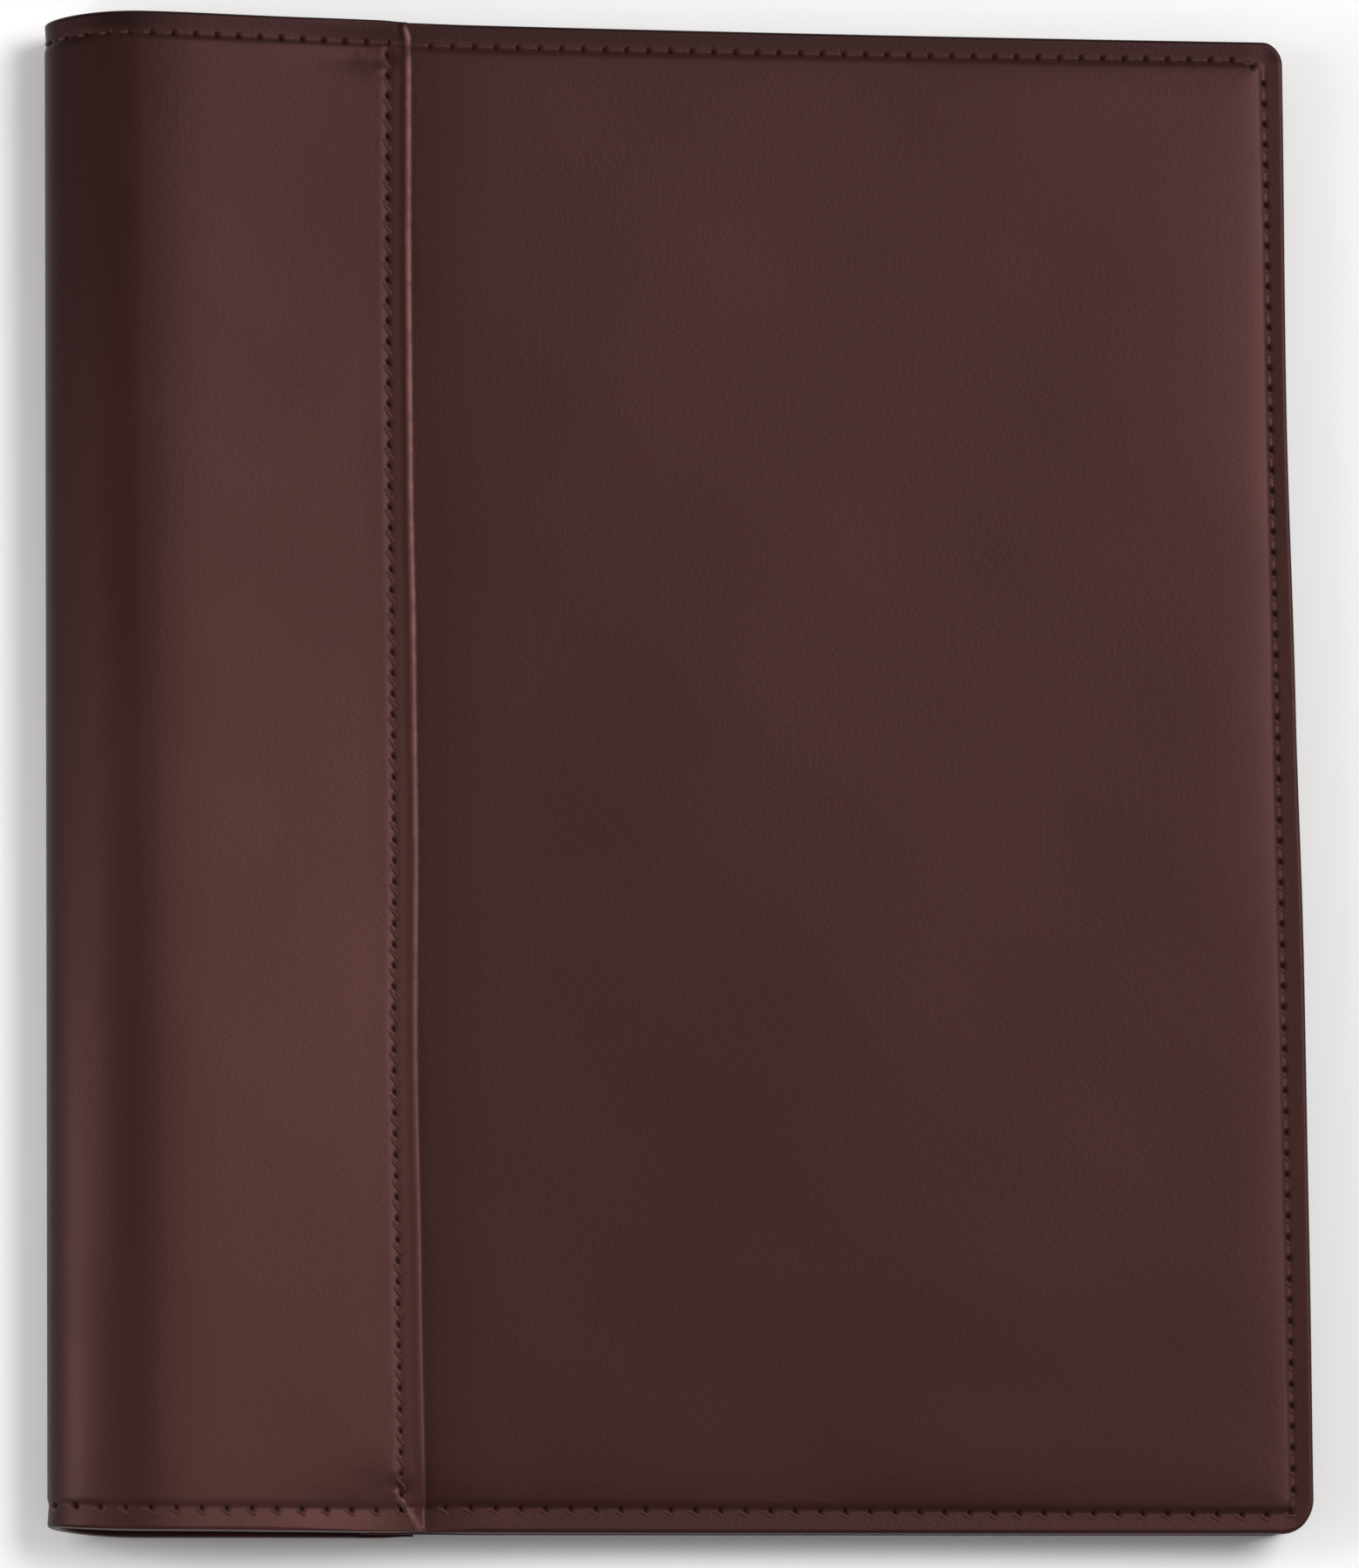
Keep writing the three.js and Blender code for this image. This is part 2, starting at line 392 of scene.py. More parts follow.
    def relief(self, side: Side, from_spine: Array, y: Array, inset: Array) -> Array:
        """Say how far the leather stands out of a cover's outer line.

        Args:
            side: The cover.
            from_spine: Distance from the spine's outer face.
            y: Height from the middle.
            inset: Distance in from the wrap's outline.

        Returns:
            Heights out of the cover, before its edges are rounded.
        """
        fade_and_painted_light = smooth((self.half_height - np.abs(y)) / self.seam_dip_fade)
        seam = self.seam_dip * self.valley(from_spine - self.seam_at) * fade_and_painted_light
        dip = np.maximum(seam, self.valley(self.stitch_line(from_spine, y) - inset))
        if side is Side.BACK:
            return -dip
        low = 1 - smooth((self.half_height + y) / self.low_reach)
        fall = self.low_fall * low * ramp(from_spine, self.wrap_reach, self.low_ease)
        return self.pad_at(from_spine, y, inset) - dip - self.hollow_at(from_spine, y) - fall

    def stitch_line(self, from_spine: Array, y: Array) -> Array:
        """Say how far in from the case's outline its stitches run, the rows of the ends included."""
        rows = self.row_insets
        along = np.clip((from_spine - self.wrap_reach) / (self.width - self.wrap_reach), 0, 1)
        top = rows.top_near + (rows.top_far - rows.top_near) * along
        bottom = rows.bottom_near + (rows.bottom_far - rows.bottom_near) * along
        at_end = smooth(0.5 + (self.width - from_spine - self.half_height + np.abs(y)) / self.row_ease)
        on_panel = ramp(from_spine, self.wrap_reach, self.row_ease)
        return self.stitch_inset + (np.where(y > 0, top, bottom) - self.stitch_inset) * at_end * on_panel

    def valley(self, beyond: Array) -> Array:
        """Give the valley that a sewn line draws.

        Args:
            beyond: Distance from the line, positive towards the leather's edge.

        Returns:
            Depths: short and round before the line, and an even rise to the edge beyond it.
        """
        before = bump(beyond / self.dip_reach)
        after = np.clip(1 - beyond / self.dip_rise, 0, 1)
        return self.dip * np.where(beyond < 0, before, after)

    def pad_at(self, from_spine: Array, y: Array, inset: Array) -> Array:
        """Give the rise of the padding and the unevenness of the hide over it."""
        to_seam = np.maximum(np.maximum(self.seam_at - from_spine, from_spine - self.wrap_reach), 0)
        tucked = 1 - self.seam_tuck * np.exp(-to_seam / self.crown_ease)
        padded = smooth(from_spine / self.spine_reach) * tucked
        padded = padded * swell(inset - self.stitch_line(from_spine, y), self.crown_ease)
        on_panel = ramp(from_spine, self.seam_at, self.crown_growth)
        crown = self.crown * (self.wrap_crown + (1 - self.wrap_crown) * on_panel)
        return (crown + self.wave_at(from_spine, y)) * padded


FORM = CaseForm()


class Band(NamedTuple):
    """A sewn band of a flat sheet: its edges run along one axis, between two places on the other."""

    along: int
    low: float
    high: float


class Hole(NamedTuple):
    """A needle hole: its place, the way that the row runs on, and the way out of the leather."""

    at: Array
    along: Array
    out: Array


@dataclass(frozen=True)
class Stitch:
    """How one kind of row is sewn, in metres and radians.

    The thread shows beside each needle hole: ahead of it along the row, aside to the left of the row's
    run, and turned from the run by its slant. The hole is as long and wide as its dent reaches, and turned
    as well. Lift raises the thread out of the leather, and sway bends it like an S.
    """

    pitch: float
    length: float
    radius: float
    ahead: float
    aside: float
    slant: float
    hole_length: float
    hole_width: float
    hole_turn: float = 0.0
    lift: float = 0.0
    sway: float = 0.0


class Sewn(Enum):
    """The kinds of row: each is pulled another way by the sewing."""

    TOP = Stitch(0.0047, 0.0015, 0.00042, -0.0014, 0.0001, -0.30, 0.00065, 0.00080, lift=-0.00013)
    SIDE = Stitch(
        0.0045, 0.0031, 0.00038, 0.0010, -0.0005, 0.55, 0.00080, 0.00062, 0.3, lift=-0.00006, sway=0.00018)
    BOTTOM = Stitch(0.0053, 0.0038, 0.00040, 0.0005, 0.0008, -0.55, 0.00072, 0.00080, lift=-0.00004)
    SEAM = Stitch(0.0045, 0.0046, 0.00044, 0.0019, -0.0002, 0.50, 0.00090, 0.00062, 0.3, sway=0.00022)
    LONG_TACK = Stitch(0.05, 0.0038, 0.00024, 0.0017, 0.0, 0.0, 0.0003, 0.0003, lift=-0.00004)
    SHORT_TACK = Stitch(0.05, 0.0024, 0.00022, 0.0012, 0.0, 0.0, 0.0003, 0.0003, lift=-0.00006)


@dataclass(frozen=True)
class StitchRow:
    """One row of stitches: its name, how it is sewn, and its path over a sheet in flat coordinates.

    A tack is a single thread that dives into its neighbours' holes, so it isn't pierced itself.
    """

    name: str
    sewn: Sewn
    path: tuple[tuple[float, float], ...]
    pierced: bool = True


def edge_lines() -> list[float]:
    """List the distances in from a stitched edge at which a sheet has its lines, in metres."""
    rounded = [0, 0.00005, 0.00015, 0.0003, 0.0005, 0.00075, 0.0011, 0.0016]
    margin = [0.0022, 0.0028, 0.0032] + [0.0035 + 0.0003 * i for i in range(9)] + [0.0063, 0.0068, 0.0074]
    padding = [0.0082, 0.0096, 0.0115, 0.015, 0.0195]
    return rounded + margin + padding


def between(low: float, high: float, step: float) -> list[float]:
    """Spread lines evenly between two places, both left out, about step apart."""
    count = max(1, round((high - low) / step))
    return [low + (high - low) * i / count for i in range(1, count)]


def deselect_all() -> None:
    """Leave object mode with nothing selected."""
    if bpy.context.object is not None and bpy.context.object.mode != "OBJECT":
        bpy.ops.object.mode_set(mode="OBJECT")
    bpy.ops.object.select_all(action="DESELECT")


def only(piece: bpy.types.Object) -> None:
    """Make a piece the only selected and the active one."""
    deselect_all()
    piece.select_set(True)
    bpy.context.view_layer.objects.active = piece


def read_points(mesh: bpy.types.Mesh) -> Array:
    """Read a mesh's points as an array of rows."""
    points = np.zeros(len(mesh.vertices) * 3, np.float32)
    mesh.vertices.foreach_get("co", points)
    return points.reshape(-1, 3).astype(float)


def write_points(mesh: bpy.types.Mesh, points: Array) -> None:
    """Write an array of rows back as a mesh's points."""
    mesh.vertices.foreach_set("co", points.astype(np.float32).ravel())
    mesh.update()


def store(mesh: bpy.types.Mesh, name: str, values: Array) -> None:
    """Store one number for each point of a mesh, which its material reads by name."""
    made = mesh.attributes.new(name, "FLOAT", "POINT")
    made.data.foreach_set("value", values.astype(np.float32))


@dataclass
class LeatherSheet:
    """A piece of leather that is cut flat, crowded where it is sewn and laid over the form.

    Lengths are in metres. A ramp is the place where something begins and the length over which it grows.
    """

    name: str
    side: Side
    stitch_step: float = 0.00037
    grid_step: float = 0.0048
    hole_reach: float = 0.0007
    most_cuts: int = 16
    band_inner: float = 0.0076
    band_outer: float = 0.0025
    path_step: float = 0.0002
    heading_reach: float = 0.0004
    block: int = 4000
    # Painted shade along the top edge
    edge_shade: float = 0.85
    edge_shade_ramp: tuple[float, float] = (0.0028, 0.002)

    def u_lines(self) -> list[float]:
        """List the sheet's lines across its width."""
        raise NotImplementedError

    def v_lines(self) -> list[float]:
        """List the sheet's lines up its height."""
        reach = self.half()
        low = [-reach + d for d in edge_lines()]
        high = [reach - d for d in reversed(edge_lines())]
        return low + between(low[-1], high[0], self.grid_step) + high

    def half(self) -> float:
        """Half of the sheet's height."""
        return FORM.half_height

    def bands(self) -> list[Band]:
        """List the bands that are sewn: here those along the top and the bottom."""
        inner, outer = self.half() - self.band_inner, self.half() - self.band_outer
        return [Band(0, inner, outer), Band(0, -outer, -inner)]

    def place(self, u: Array, v: Array, outer: Array) -> Placed:
        """Lay flat points over the form.

        Args:
            u: Places across the flat sheet.
            v: Places up the flat sheet.
            outer: True for points of the grain side.

        Returns:
            The points in the row frame, and the way out of the leather at each.
        """
        raise NotImplementedError

    def rows(self) -> list[StitchRow]:
        """List the rows of stitches that are sewn through the sheet."""
        raise NotImplementedError

    def cut_flat(self) -> bpy.types.Object:
        """Cut the sheet flat, with its lines at their places."""
        us, vs = self.u_lines(), self.v_lines()
        deselect_all()
        bpy.ops.mesh.primitive_grid_add(x_subdivisions=len(us) - 1, y_subdivisions=len(vs) - 1, size=1)
        sheet = bpy.context.object
        sheet.name = self.name
        sheet.data.name = self.name
        across, up = np.meshgrid(us, vs)
        write_points(sheet.data, np.column_stack([across.ravel(), up.ravel(), np.zeros(across.size)]))
        return sheet

    def crowd(self, sheet: bpy.types.Object) -> None:
        """Subdivide the edges that run along the sewn bands until they are a stitch step long."""
        for band in self.bands():
            across = 1 - band.along
            for cuts in range(self.most_cuts, 0, -1):
                only(sheet)
                points = read_points(sheet.data)
                ends = np.array([e.vertices[:] for e in sheet.data.edges])
                first, last = points[ends[:, 0]], points[ends[:, 1]]
                length = np.abs(first - last)[:, band.along]
                level = np.abs(first - last)[:, across] < 1e-6
                inside = (first[:, across] > band.low) & (first[:, across] < band.high)
                wanted = np.round(length / self.stitch_step).astype(int) - 1 == cuts
                chosen = level & inside & wanted
                if not chosen.any():
                    continue
                bpy.ops.object.mode_set(mode="EDIT")
                bpy.ops.mesh.select_mode(type="EDGE")
                bpy.ops.mesh.select_all(action="DESELECT")
                bpy.ops.object.mode_set(mode="OBJECT")
                sheet.data.edges.foreach_set("select", chosen)
                bpy.ops.object.mode_set(mode="EDIT")
                bpy.ops.mesh.subdivide(number_cuts=cuts, ngon=True)
                bpy.ops.object.mode_set(mode="OBJECT")

    def thicken(self, sheet: bpy.types.Object) -> None:
        """Give the flat sheet its wall."""
        only(sheet)
        wall = sheet.modifiers.new("wall", "SOLIDIFY")
        wall.thickness = FORM.wall
        wall.offset = -1
        bpy.ops.object.modifier_apply(modifier=wall.name)

    def row_holes(self, row: StitchRow) -> list[Hole]:
        """Space the needle holes of a row along its path over the leather.

        Args:
            row: The row of stitches.

        Returns:
            The holes in the order in which they are sewn.
        """
        corners = np.array(row.path)
        fine = [corners[0]]
        for first, last in zip(corners, corners[1:]):
            steps = max(2, int(np.abs(last - first).max() / self.path_step))
            fine.extend(first + (last - first) * i / steps for i in range(1, steps + 1))
        flat = np.array(fine)
        points, outs = self.place(flat[:, 0], flat[:, 1], np.ones(len(flat), bool))
        run = np.concatenate([[0], np.cumsum(np.linalg.norm(np.diff(points, axis=0), axis=1))])
        at = np.linspace(0, run[-1], max(1, round(run[-1] / row.sewn.value.pitch)) + 1)
        spots, facing, ahead, behind = (
            np.column_stack([np.interp(at + shift, run, rows[:, i]) for i in range(3)])
            for rows, shift in (
                (points, 0), (outs, 0), (points, self.heading_reach), (points, -self.heading_reach))
        )
        along = (ahead - behind) / np.linalg.norm(ahead - behind, axis=1)[:, None]
        return [Hole(*parts) for parts in zip(spots, along, facing)]

    def hole_depth(self, row: StitchRow, points: Array) -> Array:
        """Say how deep in a row's needle holes points are.

        Args:
            row: The row of stitches.
            points: Points of the grain side.

        Returns:
            Shares from 0 outside the holes to 1 in the middle of one.
        """
        holes, stitch = self.row_holes(row), row.sewn.value
        spots = np.array([h.at for h in holes])
        along = np.array([h.along for h in holes])
        facing = np.array([h.out for h in holes])
        beside = np.cross(facing, along)
        cos, sin = math.cos(stitch.hole_turn), math.sin(stitch.hole_turn)
        depth = np.zeros(len(points))
        for block in np.array_split(np.arange(len(points)), max(1, len(points) // self.block)):
            gap = points[block][:, None, :] - spots[None, :, :]
            nearest = (gap ** 2).sum(2).argmin(1)
            offset = gap[np.arange(len(block)), nearest]
            run = (offset * along[nearest]).sum(1)
            aside = (offset * beside[nearest]).sum(1)
            long = (run * cos + aside * sin) / stitch.hole_length
            wide = (aside * cos - run * sin) / stitch.hole_width
            # A hole of the other cover, straight below, doesn't pierce this one
            level = np.abs((offset * facing[nearest]).sum(1)) < FORM.wall
            depth[block] = bump(np.hypot(long, wide)) * level
        return depth

    def build(self) -> bpy.types.Object:
        """Make the sheet: cut, crowd, thicken, lay, pierce and smooth it.

        Returns:
            The finished piece, at the origin, with its place in its mesh.
        """
        sheet = self.cut_flat()
        self.crowd(sheet)
        self.thicken(sheet)
        flat = read_points(sheet.data)
        outer = flat[:, 2] > -FORM.wall / 2
        points, outs = self.place(flat[:, 0], flat[:, 1], outer)
        depth = np.zeros(len(points))
        for row in self.rows():
            if row.pierced:
                depth[outer] = np.maximum(depth[outer], self.hole_depth(row, points[outer]))
        points -= outs * (self.hole_reach * depth)[:, None]
        write_points(sheet.data, points)
        store(sheet.data, "needle", depth)
        # The material reads painted shade, painted light and the lip's painted highlight from these
        for name, share in (("wear_and_highlight", self.wear_and_highlight), ("painted_shade", self.painted_shade), ("fade_and_painted_light", self.fade_and_painted_light)):
            store(sheet.data, name, share(flat) * outer)
        if self.turned_over():
            only(sheet)
            bpy.ops.object.mode_set(mode="EDIT")
            bpy.ops.mesh.select_all(action="SELECT")
            bpy.ops.mesh.flip_normals()
            bpy.ops.object.mode_set(mode="OBJECT")
        only(sheet)
        bpy.ops.object.shade_smooth()
        return sheet

    def wear_and_highlight(self, flat: Array) -> Array:
        """Say how scuffed the grain is and how much painted highlight it has at flat points, from 0 to 1."""
        return np.zeros(len(flat))

    def painted_shade(self, flat: Array) -> Array:
        """Say how far painted shade darkens the dye at flat points, from 0 to 1: along the top edge."""
        return self.edge_shade * (1 - ramp(self.half() - flat[:, 1], *self.edge_shade_ramp))

    def fade_and_painted_light(self, flat: Array) -> Array:
        """Say how far painted light lightens the dye at flat points, from 0 to 1."""
        return np.zeros(len(flat))

    def turned_over(self) -> bool:
        """Say whether laying the sheet turns its faces inwards."""
        return False


@dataclass
class CoverPanel(LeatherSheet):
    """A padded cover panel with rounded corners at the open edge and a tongue under the wrap."""

    corner_run: float = 0.012
    row_corner: float = 0.0048
    row_start: float = 0.0042
    bow_ease: float = 0.0008

    def setback(self) -> float:
        """How far the panel lies inside the wrap's outline."""
        return FORM.back_setback if self.side is Side.BACK else 0.0

    def half(self) -> float:
        """Half of the panel's height."""
        return FORM.half_height - self.setback()

    def reach(self) -> float:
        """Where the panel's open edge lies, from the spine, before its bow."""
        return FORM.width - self.setback()

    def u_lines(self) -> list[float]:
        """List the panel's lines from its tongue to its open edge."""
        start = FORM.lap_start + FORM.clearance
        tongue = [start, start + FORM.skive, FORM.seam_at, FORM.wrap_reach - 0.001]
        shares = (0, 0.04, 0.09, 0.16, 0.26, 0.38, 0.52, 0.68, 0.84, 1)
        rise = [FORM.wrap_reach + FORM.rise * share for share in shares]
        right = [self.reach() - d for d in reversed(edge_lines())]
        return tongue + rise + between(rise[-1], right[0], self.grid_step) + right

    def bands(self) -> list[Band]:
        """List the panel's sewn bands: both ends and the open edge."""
        side = Band(1, self.reach() - self.band_inner, self.reach() - self.band_outer)
        return [*super().bands(), side]

    def round_corner(self, a: Array, b: Array, radius: Array) -> Placed:
        """Bend the sheet's lines round a corner.

        Args:
            a: Distance in from the open edge on the square sheet.
            b: Distance in from the nearer end on the square sheet.
            radius: The corner's radius.

        Returns:
            The distances in from the open edge and from the end on the rounded sheet.
        """
        ring = np.minimum(a, b)
        run = np.abs(a - b)
        fade = 1 - smooth(ring / self.corner_run)
        turn = np.maximum(np.maximum(radius - ring, FORM.stitch_corner * fade), 1e-7)
        arc = turn * np.pi / 4
        sigma = np.where(run < self.corner_run, run / self.corner_run * (arc + self.corner_run - turn), run)
        angle = np.clip(sigma / turn, 0, np.pi / 4)
        near = ring + turn * (1 - np.cos(np.pi / 4 - angle))
        far = ring + turn * (1 - np.sin(np.pi / 4 - angle))
        straight = sigma > arc
        near = np.where(straight, ring, near)
        beyond = np.where(run < self.corner_run, turn + sigma - arc, run)
        far = np.where(straight, ring + beyond, far)
        open_side = a < b
        return np.where(open_side, near, far), np.where(open_side, far, near)

    def place(self, u: Array, v: Array, outer: Array) -> Placed:
        """Lay flat points of the panel over its cover. Args and Returns are as for any sheet."""
        a = self.reach() - u
        b = self.half() - np.abs(v)
        radius = np.where(v > 0, FORM.corner_top, FORM.corner_bottom)
        in_open, in_end = self.round_corner(a, b, radius)
        y = np.where(v > 0, 1, -1) * (self.half() - in_end)
        square = self.reach() - in_open
        from_spine, lean = square, np.zeros_like(square)
        if self.side is Side.FRONT:
            margin = FORM.stitch_inset + self.bow_ease
            from_spine = square - FORM.bow_at(y) * ramp(square, self.reach() - margin, margin)
            lean = FORM.lean_at(from_spine, y)
        ring = np.clip(np.minimum(a, b), 0, None)
        thinned = FORM.step * (1 - ramp(from_spine, FORM.wrap_reach, FORM.rise))
        sink = thinned if self.side is Side.BACK else FORM.step
        local = FORM.wall - thinned
        skin = FORM.relief(self.side, from_spine, y, ring + self.setback())
        out = skin - sink - round_drop(ring, FORM.rim * local)
        under = round_drop(ring, FORM.under_rim * local) - sink - local
        lift = np.where(outer, out, under)
        z = FORM.base(from_spine, self.side) + self.side.value * lift
        points = np.column_stack([FORM.spine_x + from_spine + lean, y, z])
        outs = np.zeros_like(points)
        outs[:, 2] = self.side.value
        return points, outs

    def rows(self) -> list[StitchRow]:
        """List the panel's rows: along the top, the open edge and the bottom."""
        start = FORM.wrap_reach + self.row_start
        right = self.reach() + self.setback() - FORM.stitch_inset
        outer, insets = self.half() + self.setback(), FORM.row_insets
        top, bottom = outer - insets.top_far, insets.bottom_far - outer
        cut = self.row_corner
        # The top row bends down a little where it meets the side row
        bend, end = (right - 1.4 * cut, top), (right - 0.5 * cut, top - 0.25 * cut)
        paths = {
            Sewn.TOP: ((start, outer - insets.top_near), bend, end),
            Sewn.SIDE: ((right, top - cut), (right, bottom + cut)),
            Sewn.BOTTOM: ((right, bottom), (start, insets.bottom_near - outer)),
        }
        return [StitchRow(f"{self.name}_{sewn.name.lower()}_row", sewn, path) for sewn, path in paths.items()]

    def turned_over(self) -> bool:
        """Only the back cover's sheet is laid face down."""
        return self.side is Side.BACK


@dataclass
class SpineWrap(LeatherSheet):
    """The leather that goes round the spine from its lip on the front cover to its lip on the back.

    A spot is the middle of a rounded bump and how far it reaches. Those of the lip are read from its
    turned edge, and ramps that end in "up" from the middle of the case upwards.
    """

    hook: float = 0.0009
    hook_reach: float = 0.0042
    hook_width: float = 0.006
    ridge: float = 0.00018
    ridge_spot: tuple[float, float] = (0.0011, 0.0016)
    ridge_low: float = 0.5
    ridge_ramp_up: tuple[float, float] = (-0.155, 0.2)
    # The lip's turned edge is scuffed and has a painted highlight, placed by these
    highlight_spot: tuple[float, float] = (0.0007, 0.0012)
    highlight_low: float = 0.15
    highlight_ramp_up: tuple[float, float] = (-0.15, 0.28)
    highlight_bottom_ramp_up: tuple[float, float] = (-0.158, 0.02)
    highlight_top_ramp: tuple[float, float] = (0.0008, 0.0012)
    highlight_gap: float = 0.7
    highlight_gap_spot: tuple[float, float] = (0.0066, 0.0028)
    tuck_highlight: float = 0.5
    # Painted light low on the front, up to the spine
    unlit_ramp_up: tuple[float, float] = (-0.065, 0.19)
    unlit_spine_ramp: tuple[float, float] = (0.006, 0.014)
    unlit_crest: float = 0.7
    unlit_crest_spot: tuple[float, float] = (0.001, 0.010)
    edge_blend: float = 0.02
    end_pull: float = 0.0003
    pull_width: float = 0.008
    lip_round: float = 0.5
    lap_crease: float = 0.6
    crease_fade: float = 0.75
    seam_band: float = 0.0082
    seam_row_end: float = 0.003
    creases: tuple[Crease, ...] = (
        Crease((0.0725, 0.1540), (0.058, 0.1532), 0.0026, 0.00036),
        Crease((0.0725, 0.1505), (0.066, 0.1488), 0.0016, 0.00012),
        Crease((0.0728, -0.1535), (0.0590, -0.1505), 0.0030, 0.00045),
        Crease((0.0730, -0.1570), (0.0650, -0.1545), 0.0018, 0.00020),
        Crease((0.0757, -0.1575), (0.0752, -0.1530), 0.0016, 0.00035),
    )
    tuck_ridge: Crease = Crease((0.0763, -0.1622), (0.0715, -0.1543), 0.0009, 0.00026)
    turns: Array = field(default_factory=lambda: np.linspace(np.pi / 2, -np.pi / 2, 721))

    def flat_run(self) -> float:
        """Length of the wrap that lies flat on one cover."""
        return FORM.wrap_reach - FORM.spine_reach

    def arc_runs(self) -> Array:
        """Give the run round the spine's half ellipse at each of the turns."""
        across = -FORM.spine_reach * np.cos(self.turns)
        high = FORM.base_depth / 2 * np.sin(self.turns)
        steps = np.hypot(np.diff(across), np.diff(high))
        return np.concatenate([[0], np.cumsum(steps)])

    def length(self) -> float:
        """Length of the whole wrap, cut flat."""
        return 2 * self.flat_run() + float(self.arc_runs()[-1])

    def lip_lines(self) -> list[float]:
        """List the lines of one lip, from its turned edge."""
        turned = [0, 0.00006, 0.0002, 0.0004, 0.00065, 0.0009, 0.0013, 0.0018, 0.0024]
        seam = [0.0029, 0.0034, 0.0038] + [0.0041 + 0.0003 * i for i in range(9)]
        lap = [0.0069, 0.0074, 0.008, 0.0093, FORM.lap, FORM.lap + FORM.skive]
        return turned + seam + lap + [0.0145, 0.018]

    def u_lines(self) -> list[float]:
        """List the wrap's lines from its front lip round to its back lip."""
        near = self.lip_lines()
        far = [self.length() - u for u in reversed(near)]
        flat = self.flat_run()
        spine = [flat + float(run) for run in self.arc_runs()[::24]]
        front = between(near[-1], flat, self.grid_step)
        back = between(spine[-1], far[0], self.grid_step)
        return near + front + spine + back + far

    def bands(self) -> list[Band]:
        """List the wrap's sewn bands: both ends and both seams."""
        front = Band(1, self.band_outer, self.seam_band)
        back = Band(1, self.length() - self.seam_band, self.length() - self.band_outer)
        return [*super().bands(), front, back]

    def crease_at(self, from_spine: Array, y: Array) -> Array:
        """Give the depth of the creases at the ends of the front seam."""
        depth = np.zeros_like(from_spine)
        for row in self.creases:
            deep, along = row.reach(from_spine, y)
            depth += row.depth * deep * (1 - self.crease_fade * smooth(along))
        return depth

    def tucked(self, from_spine: Array, y: Array) -> Array:
        """Say how far points lie on the ridge into which the lower end of the lip is tucked."""
        return self.tuck_ridge.reach(from_spine, y)[0]

    def on_cover(self, side: Side, from_spine: Array, v: Array, outer: Array) -> Placed:
        """Lay points of the wrap on one cover.

        Args:
            side: The cover.
            from_spine: Distance from the spine's outer face.
            v: Places up the sheet.
            outer: True for points of the grain side.

        Returns:
            The points and the ways out of the leather.
        """
        inset = FORM.half_height - np.abs(v)
        in_lap = from_spine >= FORM.lap_start - 1e-7
        wall = np.where(in_lap, FORM.lip_wall, FORM.wall)
        thinned = ramp(from_spine, FORM.lap_start - self.edge_blend, self.edge_blend)
        rim = FORM.rim * (FORM.wall + (FORM.lip_wall - FORM.wall) * thinned)
        skin = FORM.relief(side, from_spine, v, inset)
        lip_inset = FORM.wrap_reach - from_spine
        lip_drop = round_drop(np.clip(lip_inset, 0, None), self.lip_round * FORM.lip_wall)
        drop = np.maximum(round_drop(inset, rim), np.where(in_lap, lip_drop, 0))
        under = np.where(in_lap, skin - FORM.lip_wall, -FORM.wall) + FORM.under_drop * drop
        # The turned edge stands up as a ridge, which is flatter towards the bottom
        kept = self.ridge_low + (1 - self.ridge_low) * ramp(v, *self.ridge_ramp_up)
        top = skin - drop + self.ridge * kept * spot(lip_inset, *self.ridge_spot)
        drawn = np.zeros_like(top)
        if side is Side.FRONT:
            top = top - self.crease_at(from_spine, v) * np.where(in_lap, self.lap_crease, 1)
            top = top + self.tuck_ridge.depth * self.tucked(from_spine, v)
            hooked = bump(inset / self.hook_reach) * bump(lip_inset / self.hook_width) * (v > 0)
            drawn = self.hook * hooked - FORM.lean_at(from_spine, v)
        z = FORM.base(from_spine, side) + side.value * np.where(outer, top, under)
        pulled = v * (1 - self.end_pull * bump(lip_inset / self.pull_width) / FORM.half_height)
        points = np.column_stack([FORM.spine_x + from_spine - drawn, pulled, z])
        outs = np.zeros_like(points)
        outs[:, 2] = side.value
        return points, outs

    def on_spine(self, turn: Array, v: Array, outer: Array) -> Placed:
        """Lay points of the wrap round the spine.

        Args:
            turn: Angles from the front cover, at a quarter turn up, to the back cover.
            v: Places up the sheet.
            outer: True for points of the grain side.

        Returns:
            The points and the ways out of the leather.
        """
        half = FORM.base_depth / 2
        across, high = np.cos(turn), np.sin(turn)
        outs = np.column_stack([-across / FORM.spine_reach, np.zeros_like(turn), high / half])
        outs /= np.linalg.norm(outs, axis=1)[:, None]
        from_spine = FORM.spine_reach * (1 - across)
        tuck = FORM.spine_tuck * across ** 2
        y = v * (FORM.half_height - tuck) / FORM.half_height
        inset = FORM.half_height - tuck - np.abs(y)
        pad = np.where(high > 0, FORM.pad_at(from_spine, y, inset), 0)
        dip = FORM.valley(FORM.stitch_inset - inset)
        drop = round_drop(inset, FORM.rim * FORM.wall)
        lift = np.where(outer, pad - dip - drop, FORM.under_drop * drop - FORM.wall)
        line = np.column_stack([FORM.spine_x + from_spine, y, half + half * high])
        return line + outs * lift[:, None], outs

    def place(self, u: Array, v: Array, outer: Array) -> Placed:
        """Lay flat points of the wrap over the front, the spine and the back."""
        flat, whole = self.flat_run(), self.length()
        points = np.zeros((len(u), 3))
        outs = np.zeros((len(u), 3))
        front = u < flat
        back = u > whole - flat
        spine = ~(front | back)
        for side, here, from_spine in (
            (Side.FRONT, front, FORM.wrap_reach - u), (Side.BACK, back, FORM.wrap_reach - whole + u),
        ):
            if here.any():
                points[here], outs[here] = self.on_cover(side, from_spine[here], v[here], outer[here])
        if spine.any():
            turn = np.interp(u[spine] - flat, self.arc_runs(), self.turns)
            points[spine], outs[spine] = self.on_spine(turn, v[spine], outer[spine])
        return points, outs

